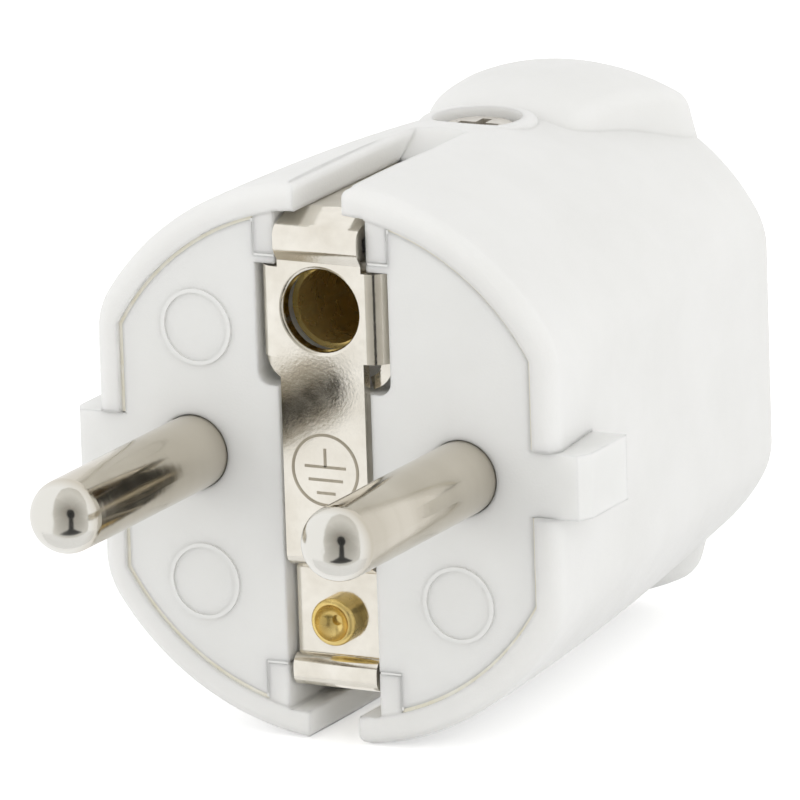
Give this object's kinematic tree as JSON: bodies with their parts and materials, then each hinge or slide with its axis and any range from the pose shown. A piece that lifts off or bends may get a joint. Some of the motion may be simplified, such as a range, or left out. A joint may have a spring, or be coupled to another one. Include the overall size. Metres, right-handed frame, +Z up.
{
  "type": "earthed mains plug",
  "caption": "Straight rewireable mains plug: round flat-sided hood with finger humps, two round pins, side earth contacts in grooves and a socket for the outlet's earth pin.",
  "frame": {"origin": "middle between the two pins, in the plane of the carrier's face", "axes": "+X to the right facing the pins, +Y from the face into the body towards the cable inlet, +Z up to the earth-pin socket"},
  "size_m": [0.0362, 0.0577, 0.0369],
  "materials": {
    "hood_plastic": "satin moulded white",
    "carrier_plastic": "satin moulded white",
    "pin_nickel": "bright nickel plating",
    "strip_nickel": "bright nickel plating on stamped sheet",
    "contact_brass": "plain brass",
    "screw_steel": "zinc plated steel"
  },
  "bodies": {
    "root": {"hood": "hood_plastic", "contact_carrier": "carrier_plastic", "left_pin": "pin_nickel", "right_pin": "pin_nickel", "left_terminal_screw": "screw_steel", "right_terminal_screw": "screw_steel", "earth_strip": "strip_nickel", "earth_socket": "contact_brass", "earth_rivet": "contact_brass", "earth_terminal": "contact_brass", "earth_terminal_screw": "screw_steel", "upper_hood_screw": "screw_steel", "lower_hood_screw": "screw_steel", "cable_clamp": "carrier_plastic", "left_clamp_screw": "screw_steel", "right_clamp_screw": "screw_steel"}
  },
  "joints": []
}
